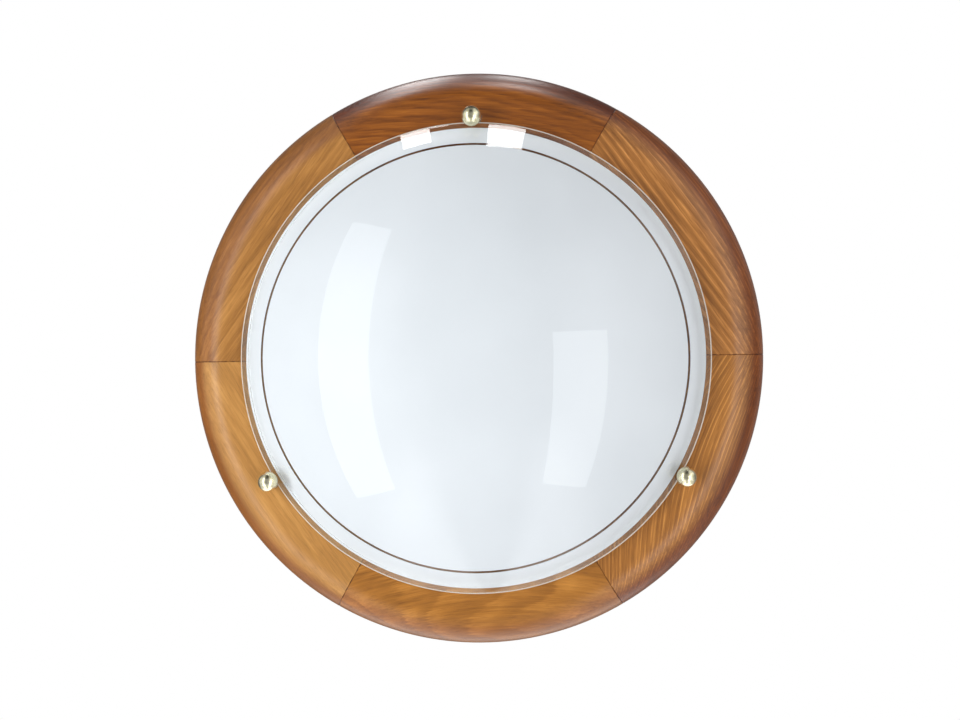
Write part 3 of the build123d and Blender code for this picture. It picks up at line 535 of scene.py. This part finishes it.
def wood(name, board):
    """Stained and lacquered hardwood: year rings, fibres, open pores, clouding, dark glue joints and a darker
    outer round that is part stain and part painted shade.
    """
    s = Surface(name)
    middle = radians(board.middle)
    grain = middle + radians(board.tilt)
    place = s.place()
    sideways = s.vector("DOT_PRODUCT", place, (-sin(middle), 0, cos(middle)))
    outwards = s.vector("DOT_PRODUCT", place, (cos(middle), 0, sin(middle)))
    along = s.vector("DOT_PRODUCT", place, (-sin(grain), 0, cos(grain)))
    out = s.vector("DOT_PRODUCT", place, (cos(grain), 0, sin(grain)))
    depth = s.math("MULTIPLY", s.parts(place)[1], -1)

    share = s.math("DIVIDE", along, 100)
    out = s.math("ADD", out, s.math("MULTIPLY", board.bend, s.math("MULTIPLY", share, share)))
    log = s.node("ShaderNodeCombineXYZ", {0: along, 1: out, 2: depth}).outputs[0]
    log = s.vector("ADD", log, tuple(board.middle * shift for shift in LOG_SHIFT))
    broad = s.noise(s.scaled(log, BROAD_SCALE), detail=2)
    cloud = s.noise(s.scaled(log, CLOUD_SCALE), detail=3)
    fibre = s.noise(s.scaled(log, FIBRE_SCALE), detail=5, roughness=0.68)
    dashes = s.noise(s.scaled(log, PORE_SCALE), detail=1)

    moved = s.math("ADD", out, s.math("MULTIPLY", s.math("SUBTRACT", broad, 0.5), 2 * board.wave))
    from_pith = s.math("SUBTRACT", moved, STUD_CIRCLE_R + board.pith[0])
    below = s.math("ADD", s.math("SUBTRACT", depth, board.pith[1]), s.math("MULTIPLY", along, board.taper))
    squares = s.math("ADD", s.math("MULTIPLY", from_pith, from_pith), s.math("MULTIPLY", below, below))
    years = s.math("DIVIDE", s.math("SQRT", squares), board.years)
    count = s.node("ShaderNodeCombineXYZ", {0: s.math("MULTIPLY", years, 0.7)}).outputs[0]
    uneven = s.noise(count, detail=1)
    wander = s.math("ADD", s.math("MULTIPLY", uneven, 1.6), s.math("MULTIPLY", fibre, 0.5))
    season = s.math("FRACT", s.math("ADD", years, wander))
    late = s.math("MULTIPLY", s.step(season, *LATE_RISE), s.step(season, *LATE_FALL, 1, 0))
    late = s.math("MULTIPLY", late, s.step(cloud, 0.3, 0.6, 0.4, 1.3))
    early = s.math("MULTIPLY", s.step(season, *EARLY_RISE), s.step(season, *EARLY_FALL, 1, 0))
    early = s.math("MULTIPLY", early, s.step(fibre, 0.36, 0.58))
    pores = s.step(dashes, *PORE_BAND)

    tone = 0.5
    for strength, figure, centre in (
        (board.fibre, fibre, 0.5),
        (board.cloud, cloud, 0.5),
        (-board.rings, late, 0.3),
        (board.pale, early, 0.2),
        (PORE_TONE, pores, 0.15),
    ):
        tone = s.math("ADD", tone, s.math("MULTIPLY", strength, s.math("SUBTRACT", figure, centre)))
    base = linear(*board.colour)
    shades = [
        (place_on_ramp, tuple(channel * factor for channel, factor in zip(base, factors)) + (1.0,))
        for place_on_ramp, factors in STAIN_SHADES
    ]
    colour = s.ramp(tone, shades)

    joint = s.math(
        "SUBTRACT",
        s.math("MULTIPLY", outwards, sin(radians(JOINT_HALF_ARC))),
        s.math("MULTIPLY", s.math("ABSOLUTE", sideways), cos(radians(JOINT_HALF_ARC))),
    )
    ragged = s.noise(s.scaled(place, (0.3,) * 3), detail=2)
    glue = s.math("MULTIPLY", s.step(joint, *GLUE_BAND, 1, 0), s.step(ragged, 0.35, 0.65, 0.25, 0.9))
    colour = s.mix(glue, colour, JOINT_COLOUR)
    # Darker outer round, multiplied into the colour: part darker stain, part painted shade.
    squares = s.math("ADD", s.math("MULTIPLY", sideways, sideways), s.math("MULTIPLY", outwards, outwards))
    edge_start, edge_full, edge_stain_and_shade_colour = board.edge
    edge = s.step(s.math("SQRT", squares), edge_start, edge_full)
    colour = s.mix(edge, colour, s.mix(1.0, colour, linear(*edge_stain_and_shade_colour), "MULTIPLY"))
    raw = s.step(depth, *RAW_DEPTH_BAND, 1, 0)
    colour = s.mix(s.math("MULTIPLY", raw, RAW_SHARE), colour, RAW_WOOD)

    roughness = s.math("ADD", LACQUER_ROUGHNESS, s.math("MULTIPLY", pores, PORE_ROUGHNESS))
    roughness = s.math("ADD", roughness, s.math("MULTIPLY", raw, RAW_ROUGHNESS))
    height = s.math("SUBTRACT", s.math("MULTIPLY", fibre, 0.6), s.math("MULTIPLY", pores, 0.5))
    shader = s.principled(
        Base_Color=colour,
        Roughness=roughness,
        Normal=s.bump(height, 0.16, 0.15 * MM),
        IOR=1.48,
        Coat_Weight=0.12,
        Coat_Roughness=0.3,
    )
    return s.show(shader)


# ------------------------------------------------------------------ glass and print
def facing_share(s):
    """Schlick's reflection of glass, the same from both sides."""
    facing = s.node("ShaderNodeLayerWeight", {"Blend": 0.5}).outputs["Facing"]
    return s.math("ADD", 0.04, s.math("MULTIPLY", s.math("POWER", facing, 5.0), 0.96))


def thin_glass(name):
    """Surface of clear glass that stands straight on its print: a reflection over what is behind it."""
    s = Surface(name)
    clear = s.node("ShaderNodeBsdfTransparent", {"Color": (0.985, 0.993, 0.99, 1)}).outputs[0]
    mirror = s.node("ShaderNodeBsdfGlossy", {"Color": (1, 1, 1, 1), "Roughness": 0.03}).outputs[0]
    return s.show(s.node("ShaderNodeMixShader", {0: facing_share(s), 1: clear, 2: mirror}).outputs[0])


def rim_glass(name):
    """Clear glass that bends what is seen through it, and lets lamps through."""
    s = Surface(name)
    tint = (0.96, 0.985, 0.975, 1)
    body = s.principled(Base_Color=tint, Roughness=0.0, IOR=1.52, Transmission_Weight=1.0)
    clear = s.node("ShaderNodeBsdfTransparent", {"Color": (0.9, 0.93, 0.92, 1)}).outputs[0]
    path = s.node("ShaderNodeLightPath").outputs["Is Shadow Ray"]
    return s.show(s.node("ShaderNodeMixShader", {0: path, 1: body, 2: clear}).outputs[0])


def ground_glass(name):
    """Frosted edge left by grinding: cream, half clear."""
    s = Surface(name)
    grain = s.noise(s.scaled(s.place(), (1.2,) * 3), detail=2)
    colour = s.ramp(grain, [(0.3, linear(250, 244, 234)), (0.7, linear(240, 230, 214))])
    body = s.principled(Base_Color=colour, Roughness=0.45, IOR=1.52)
    clear = s.node("ShaderNodeBsdfTransparent", {"Color": (0.9, 0.93, 0.92, 1)}).outputs[0]
    return s.show(s.node("ShaderNodeMixShader", {0: 0.35, 1: body, 2: clear}).outputs[0])


def enamel(name):
    """White glass paint, fired on: a faint clouding and a fine stipple. Some light goes through it."""
    s = Surface(name)
    place = s.place()
    cloud = s.noise(s.scaled(place, (0.02,) * 3), detail=2)
    stipple = s.noise(s.scaled(place, (2.5,) * 3), detail=2)
    tone = s.math("ADD", s.math("MULTIPLY", cloud, 0.8), s.math("MULTIPLY", stipple, 0.2))
    colour = s.ramp(tone, [(0.25, linear(236, 239, 243)), (0.75, linear(241, 244, 248))])
    body = s.principled(Base_Color=colour, Roughness=0.5, Normal=s.bump(stipple, 0.03, 0.05 * MM))
    clear = s.node("ShaderNodeBsdfTransparent", {"Color": (0.6, 0.6, 0.6, 1)}).outputs[0]
    path = s.node("ShaderNodeLightPath").outputs["Is Shadow Ray"]
    return s.show(s.node("ShaderNodeMixShader", {0: path, 1: body, 2: clear}).outputs[0])


def on_sphere(sphere_r, radius):
    """(distance from the axis, depth) of a sphere about the dome's centre of curvature."""
    return radius, DOME_CENTRE_DEPTH + sqrt(sphere_r**2 - radius**2)


def sphere_points(sphere_r, start, end, steps):
    return [on_sphere(sphere_r, start + (end - start) * k / steps) for k in range(steps + 1)]


def turned(name, profile, materials, slots=None):
    """Closed turned piece about the light's own axis, from (distance, depth) points in mm.

    slots gives each profile run's material number. A point on the axis is one vertex.
    """
    steps = TURNED_STEPS
    vertices = []
    rows = []
    for radius, depth in profile:
        if radius < 1e-6:
            rows.append([len(vertices)])
            vertices.append((0, -depth * MM, 0))
            continue
        rows.append(list(range(len(vertices), len(vertices) + steps)))
        for k in range(steps):
            turn = 2 * pi * k / steps
            vertices.append((radius * cos(turn) * MM, -depth * MM, radius * sin(turn) * MM))
    faces = []
    numbers = []
    for run, (row, following) in enumerate(zip(rows, rows[1:] + rows[:1])):
        if len(row) == 1 and len(following) == 1:
            continue
        for k in range(steps):
            after = (k + 1) % steps
            if len(row) == 1:
                face = (row[0], following[k], following[after])
            elif len(following) == 1:
                face = (row[k], following[0], row[after])
            else:
                face = (row[k], following[k], following[after], row[after])
            faces.append(face)
            numbers.append(slots[run] if slots else 0)
    mesh = bpy.data.meshes.new(name)
    mesh.from_pydata(vertices, [], faces)
    for material in materials:
        mesh.materials.append(material)
    mesh.polygons.foreach_set("material_index", numbers)
    mesh.validate()
    made = bpy.data.objects.new(name, mesh)
    scene.collection.objects.link(made)
    point_outwards(made)
    mesh.polygons.foreach_set("use_smooth", [True] * len(mesh.polygons))
    mesh.set_sharp_from_angle(angle=radians(SMOOTH_ANGLE))
    return made


def point_outwards(made):
    """Makes a closed mesh's faces point outwards."""
    work = bmesh.new()
    work.from_mesh(made.data)
    bmesh.ops.recalc_face_normals(work, faces=work.faces)
    work.to_mesh(made.data)
    work.free()


def make_glass():
    """The dome: a print side, a clear rim and a ground edge on one closed mesh."""
    bevel_r = GLASS_R - GLASS_BEVEL
    front = sphere_points(DOME_OUTER_SPHERE_R, 0, CLEAR_FROM_R, 72)
    front_rim = sphere_points(DOME_OUTER_SPHERE_R, CLEAR_FROM_R, bevel_r, 6)[1:]
    edge = [
        (GLASS_R, GLASS_SEAT_DEPTH + GLASS_BEVEL + GLASS_EDGE),
        (GLASS_R, GLASS_SEAT_DEPTH + GLASS_BEVEL),
        (bevel_r, GLASS_SEAT_DEPTH),
    ]
    back_rim = sphere_points(DOME_INNER_SPHERE_R, RIM_FLAT_INNER_R, CLEAR_FROM_R, 4)
    back = sphere_points(DOME_INNER_SPHERE_R, CLEAR_FROM_R, 0, 72)[1:]
    profile = front + front_rim + edge + back_rim + back
    over_print, rim, ground = 0, 1, 2
    slots = [over_print] * (len(front) - 1) + [rim] * len(front_rim) + [ground] * len(edge)
    slots += [rim] * len(back_rim) + [over_print] * len(back)
    materials = [
        thin_glass("dome_glass_over_print"),
        rim_glass("dome_glass_rim"),
        ground_glass("dome_glass_ground_edge"),
    ]
    glass = turned("dome_glass", profile, materials, slots)
    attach(glass, "glass")
    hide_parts("glass_dome")


def make_print():
    """The white print: a disc and a band with a clear line between them, biting a hair into the glass."""
    outer_sphere = DOME_INNER_SPHERE_R + PRINT_BITE
    back_sphere = DOME_INNER_SPHERE_R - PRINT_THICKNESS
    white = enamel("white_glass_enamel")
    half = PRINT_LINE_WIDTH / 2
    for name, inner_r, outer_r in (
        ("print_disc", 0, PRINT_LINE_R - half),
        ("print_band", PRINT_LINE_R + half, PRINT_OUTER_R),
    ):
        steps = 64 if inner_r == 0 else 8
        front = sphere_points(outer_sphere, inner_r, outer_r, steps)
        back = sphere_points(back_sphere, outer_r, inner_r, steps)
        piece = turned(name, front + back, [white])
        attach(piece, "glass")
        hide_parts("white_print")


# ------------------------------------------------------------------ threaded studs
def make_stud(name, angle, start, end, material):
    """Stud with a real helical thread and chamfered ends, between two depths."""
    x0, z0 = STUD_CIRCLE_R * cos(radians(angle)), STUD_CIRCLE_R * sin(radians(angle))
    count = round((end - start) / STUD_PITCH * THREAD_ROWS_PER_TURN)
    vertices = [(x0 * MM, -start * MM, z0 * MM), (x0 * MM, -end * MM, z0 * MM)]
    for row in range(count + 1):
        depth = start + (end - start) * row / count
        room = STUD_END_R + min(depth - start, end - depth)
        for k in range(STUD_STEPS):
            turn = 2 * pi * k / STUD_STEPS
            phase = (depth / STUD_PITCH - k / STUD_STEPS) % 1.0
            flank = min(max(THREAD_FLANK_SLOPE * abs(phase - 0.5) - THREAD_ROOT_FLAT, 0.0), 1.0)
            radius = min(STUD_ROOT_R + (STUD_CREST_R - STUD_ROOT_R) * flank, room)
            x, z = x0 + radius * cos(turn), z0 + radius * sin(turn)
            vertices.append((x * MM, -depth * MM, z * MM))
    faces = []
    last = 2 + count * STUD_STEPS
    for k in range(STUD_STEPS):
        after = (k + 1) % STUD_STEPS
        faces.append((0, 2 + k, 2 + after))
        faces.append((1, last + after, last + k))
        for row in range(count):
            base = 2 + row * STUD_STEPS
            faces.append((base + k, base + STUD_STEPS + k, base + STUD_STEPS + after, base + after))
    mesh = bpy.data.meshes.new(name)
    mesh.from_pydata(vertices, [], faces)
    mesh.materials.append(material)
    mesh.validate()
    stud = bpy.data.objects.new(name, mesh)
    scene.collection.objects.link(stud)
    point_outwards(stud)
    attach(stud, "root")
    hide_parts("knob_studs")


# ------------------------------------------------------------------ metals, plastics and ceramics
def metal(name, light, dark, roughness, grain=(0.5, 0.5, 0.5), worn=0.5, bump=0.08):
    """Metal with fine brush marks and a slight tarnish. worn is the share of the clouding in the tone."""
    s = Surface(name)
    place = s.place()
    marks = s.noise(s.scaled(place, grain), detail=4, roughness=0.6)
    cloud = s.noise(s.scaled(place, (0.22,) * 3), detail=3)
    tone = s.math("ADD", s.math("MULTIPLY", cloud, worn), s.math("MULTIPLY", marks, 1 - worn))
    colours = s.ramp(tone, [(0.32, linear(*light)), (0.72, linear(*dark))])
    rough = s.math("ADD", roughness, s.math("MULTIPLY", marks, 0.16))
    normal = s.bump(marks, bump, 0.05 * MM)
    return s.show(s.principled(Base_Color=colours, Metallic=1.0, Roughness=rough, Normal=normal))


def turned_brass(name):
    """Pale brass, turned and lacquered: satin gloss, a fine mottle and faint clouding."""
    s = Surface(name)
    place = s.place()
    marks = s.noise(s.scaled(place, (1.3, 1.3, 1.3)), detail=4, roughness=0.65)
    cloud = s.noise(s.scaled(place, (0.25,) * 3), detail=3)
    tone = s.math("ADD", s.math("MULTIPLY", cloud, 0.35), s.math("MULTIPLY", marks, 0.65))
    stops = ((0.34, (248, 243, 220)), (0.5, (238, 231, 196)), (0.68, (206, 195, 146)))
    colour = s.ramp(tone, [(place_on_ramp, linear(*shade)) for place_on_ramp, shade in stops])
    rough = s.math("ADD", 0.17, s.math("MULTIPLY", marks, 0.1))
    shader = s.principled(
        Base_Color=colour,
        Metallic=1.0,
        Roughness=rough,
        Normal=s.bump(marks, 0.22, 0.05 * MM),
    )
    return s.show(shader)


def solid(name, light, dark, roughness, scale=0.3, bump=0.05, speck=0.0, coat=0.0):
    """Moulded, painted or fired material with slight clouding, fine stipple and a few specks."""
    s = Surface(name)
    place = s.place()
    cloud = s.noise(s.scaled(place, (scale,) * 3), detail=3)
    stipple = s.noise(s.scaled(place, (4.0,) * 3), detail=2)
    tone = s.math("ADD", s.math("MULTIPLY", cloud, 0.75), s.math("MULTIPLY", stipple, 0.25))
    colour = s.ramp(tone, [(0.3, linear(*light)), (0.7, linear(*dark))])
    if speck:
        specks = s.step(s.noise(s.scaled(place, (1.6,) * 3), detail=1), 0.70, 0.76)
        colour = s.mix(s.math("MULTIPLY", specks, speck), colour, linear(90, 84, 76))
    rough = s.math("ADD", roughness, s.math("MULTIPLY", stipple, 0.1))
    shader = s.principled(
        Base_Color=colour,
        Roughness=rough,
        Normal=s.bump(stipple, bump, 0.05 * MM),
        Coat_Weight=coat,
        Coat_Roughness=0.08,
    )
    return s.show(shader)


def clear_rubber(name):
    """Clear silicone, a little milky."""
    s = Surface(name)
    milk = s.noise(s.scaled(s.place(), (0.9,) * 3), detail=2)
    colour = s.ramp(milk, [(0.3, linear(232, 234, 232)), (0.7, linear(214, 218, 216))])
    body = s.principled(Base_Color=colour, Roughness=0.3, IOR=1.41)
    clear = s.node("ShaderNodeBsdfTransparent", {"Color": (0.95, 0.95, 0.94, 1)}).outputs[0]
    return s.show(s.node("ShaderNodeMixShader", {0: 0.75, 1: body, 2: clear}).outputs[0])


def pearl_glass(name):
    """Bulb glass with a white coating inside: glossy outside, slightly uneven white under it."""
    s = Surface(name)
    cloud = s.noise(s.scaled(s.place(), (0.05,) * 3), detail=3)
    colour = s.ramp(cloud, [(0.3, linear(238, 238, 234)), (0.7, linear(229, 229, 224))])
    shader = s.principled(
        Base_Color=colour,
        Roughness=0.14,
        IOR=1.5,
        Coat_Weight=1.0,
        Coat_Roughness=0.03,
    )
    return s.show(shader)


def striped(name):
    """Green and yellow earth insulation: a green stripe along the side that faces out of the pan."""
    s = Surface(name)
    towards = s.math("MULTIPLY", s.parts(s.own_normal())[1], -1)
    stripe = s.step(towards, 0.30, 0.40)
    grain = s.noise(s.scaled(s.place(), (0.6,) * 3), detail=2)
    yellow = s.ramp(grain, [(0.3, linear(222, 196, 40)), (0.7, linear(206, 180, 34))])
    green = s.ramp(grain, [(0.3, linear(40, 124, 62)), (0.7, linear(32, 108, 52))])
    return s.show(s.principled(Base_Color=s.mix(stripe, yellow, green), Roughness=0.38))


def dress(node, material):
    """Gives a CAD node its material."""
    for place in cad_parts[node].material_slots:
        place.material = material


# ------------------------------------------------------------------ the pieces and their materials
for name, board in BOARDS.items():
    dress(f"ring_segment_{name}", wood(f"stained_wood_{name}", board))
make_glass()
make_print()
brass = turned_brass("turned_pale_brass")
for place in STUD_ANGLES:
    dress(f"ball_knob_{place}", brass)
silicone = clear_rubber("clear_silicone_rubber")
for place in STUD_ANGLES:
    dress(f"knob_washer_{place}", silicone)
dress("glass_seat_bushes", silicone)
zinc = metal("bright_zinc", (206, 208, 210), (150, 150, 148), 0.28, grain=(1.5, 1.5, 1.5))
for node in ("pan_screws", "holder_screws", "earth_stud", "earth_nut", "block_screws"):
    dress(node, zinc)
studs_low, studs_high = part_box("knob_studs")
for place, angle in STUD_ANGLES.items():
    make_stud(f"knob_stud_{place}", angle, -studs_high[1] / MM, -studs_low[1] / MM, zinc)
contact = metal("contact_brass", (212, 180, 104), (150, 112, 56), 0.3, grain=(0.8, 0.8, 0.8))
for node in ("stud_inserts", "terminal_tubes", "terminal_screws"):
    dress(node, contact)
dress("earth_lug", metal("tinned_copper", (214, 210, 202), (160, 150, 136), 0.3))
paint = solid("white_painted_steel", (236, 236, 232), (226, 226, 221), 0.42, scale=0.05, bump=0.12)
for node in ("back_pan", "upper_lamp_bracket", "lower_lamp_bracket"):
    dress(node, paint)
dress("cable_grommet", solid("grey_rubber_moulding", (74, 74, 76), (58, 58, 60), 0.6))
ceramic = solid("glazed_steatite", (238, 234, 224), (228, 223, 211), 0.22, scale=0.08, speck=0.25, coat=0.6)
cap_metal = metal("bulb_cap_nickel", (198, 198, 196), (148, 146, 142), 0.24, grain=(0.6, 1.2, 1.2))
for lamp in ("upper", "lower"):
    dress(f"{lamp}_lamp_holder", ceramic)
    dress(f"{lamp}_holder_sleeve", contact)
    dress(f"{lamp}_centre_contact", contact)
    dress(f"{lamp}_bulb_glass", pearl_glass(f"{lamp}_pearl_bulb_glass"))
    dress(f"{lamp}_bulb_cap", cap_metal)
    vitrite = solid(f"{lamp}_black_vitrite", (20, 19, 24), (30, 28, 36), 0.12, coat=0.5)
    dress(f"{lamp}_bulb_insulator", vitrite)
    dress(f"{lamp}_bulb_tip", cap_metal)
dress("terminal_block", solid("milky_nylon", (232, 230, 220), (220, 217, 204), 0.4, scale=0.1))
brown = solid("brown_wire_insulation", (96, 56, 34), (82, 46, 28), 0.38)
blue = solid("blue_wire_insulation", (44, 92, 176), (34, 78, 156), 0.38)
for lamp in ("upper", "lower"):
    dress(f"live_wire_{lamp}", brown)
    dress(f"neutral_wire_{lamp}", blue)
dress("earth_wire", striped("earth_wire_insulation"))
